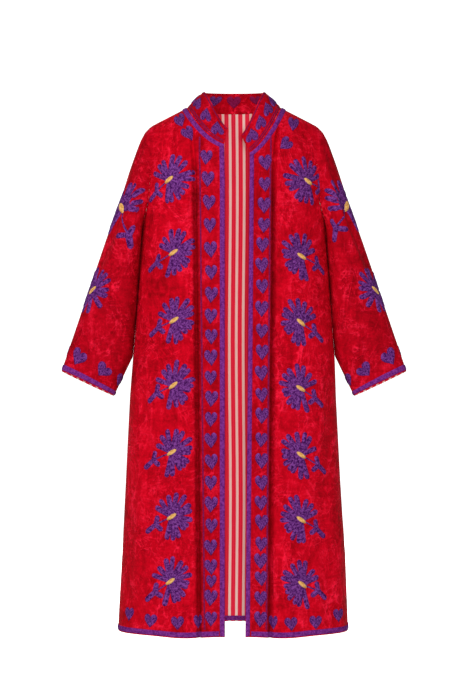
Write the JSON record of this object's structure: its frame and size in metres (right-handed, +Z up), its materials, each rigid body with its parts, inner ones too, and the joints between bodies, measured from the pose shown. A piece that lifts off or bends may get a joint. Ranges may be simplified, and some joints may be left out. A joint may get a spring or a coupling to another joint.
{
  "type": "embroidered velvet coat",
  "caption": "Long open-front velvet coat with long sleeves and a narrow stand collar, filled out as worn, with raised floral embroidery, braided edges and a striped lining.",
  "frame": {"origin": "between the wearer's shoulders at the level of the neck base, where the shoulders carry the coat", "axes": "+Z up along the coat's length, the open front faces -Y, +X to the viewer's right"},
  "size_m": [0.7772, 0.2647, 1.2144],
  "materials": {
    "velvet": "red cotton velvet with a soft, slightly crushed nap",
    "lining": "smooth cotton lining, red with pale pink stripes",
    "braid": "purple braid of thick chain-stitched thread"
  },
  "bodies": {
    "root": {"back_left": "velvet", "back_right": "velvet", "front_left": "velvet", "front_right": "velvet", "sleeve_left": "velvet", "sleeve_right": "velvet", "collar": "velvet", "lining_back": "lining", "lining_front_left": "lining", "lining_front_right": "lining", "lining_sleeve_left": "lining", "lining_sleeve_right": "lining", "braid_neck_left": "braid", "braid_neck_right": "braid", "braid_front_left": "braid", "braid_front_right": "braid", "braid_hem_back": "braid", "braid_cuff_left": "braid", "braid_cuff_right": "braid", "facing_hem_back": "braid", "facing_hem_front_left": "braid", "facing_hem_front_right": "braid"}
  },
  "joints": []
}
